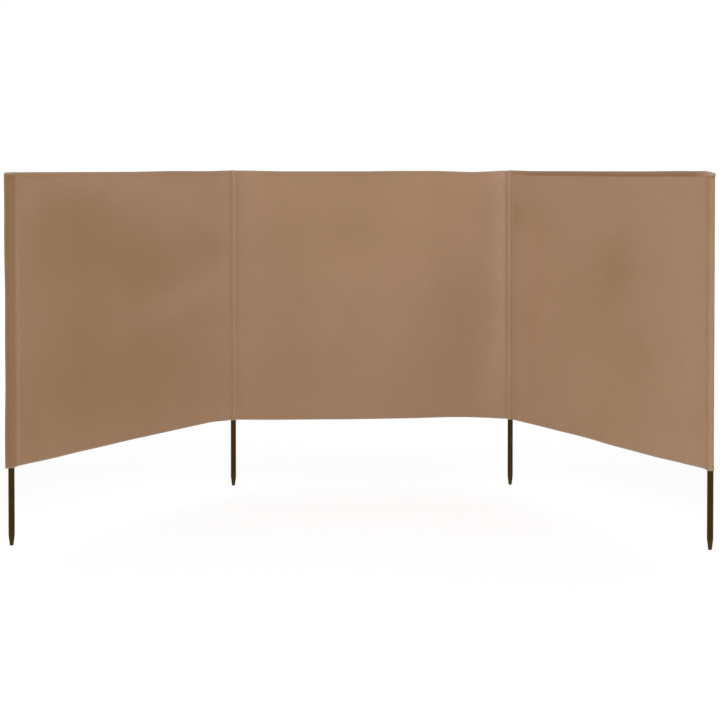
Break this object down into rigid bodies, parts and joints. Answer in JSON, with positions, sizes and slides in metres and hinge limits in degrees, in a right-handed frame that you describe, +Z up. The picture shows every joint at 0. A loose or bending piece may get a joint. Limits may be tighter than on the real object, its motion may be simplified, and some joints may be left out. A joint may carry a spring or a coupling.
{
  "type": "garden windbreak",
  "caption": "Garden windbreak of woven fabric in bays, carried in sewn pockets on round steel posts with tapered tips, its wings turning on the inner posts.",
  "frame": {"origin": "centre of the flat tip of the left inner post", "axes": "+X along the middle bay from the left inner post to the right inner post, +Y to the back of the screen, +Z up the posts"},
  "size_m": [2.8561, 1.182, 1.515],
  "materials": {
    "post": "dark brown powder coat, satin",
    "fabric": "matt taupe polyester weave",
    "hem": "matt taupe polyester weave, folded and stitched"
  },
  "bodies": {
    "middle_bay": {"left_inner_post": "post", "right_inner_post": "post", "left_inner_pocket": "fabric", "right_inner_pocket": "fabric", "middle_panel": "fabric", "middle_top_hem": "hem", "middle_bottom_hem": "hem"},
    "left_wing": {"left_end_post": "post", "left_end_pocket": "fabric", "left_panel": "fabric", "left_top_hem": "hem", "left_bottom_hem": "hem"},
    "right_wing": {"right_end_post": "post", "right_end_pocket": "fabric", "right_panel": "fabric", "right_top_hem": "hem", "right_bottom_hem": "hem"}
  },
  "joints": [
    {"name": "left_wing_fold", "type": "hinge", "parent": "middle_bay", "child": "left_wing", "pos_m": [0, 0, 0.915], "axis": [0, 0, 1], "range_deg": [-142, 113]},
    {"name": "right_wing_fold", "type": "hinge", "parent": "middle_bay", "child": "right_wing", "pos_m": [1.333, 0, 0.915], "axis": [0, 0, 1], "range_deg": [-30, 225]}
  ]
}
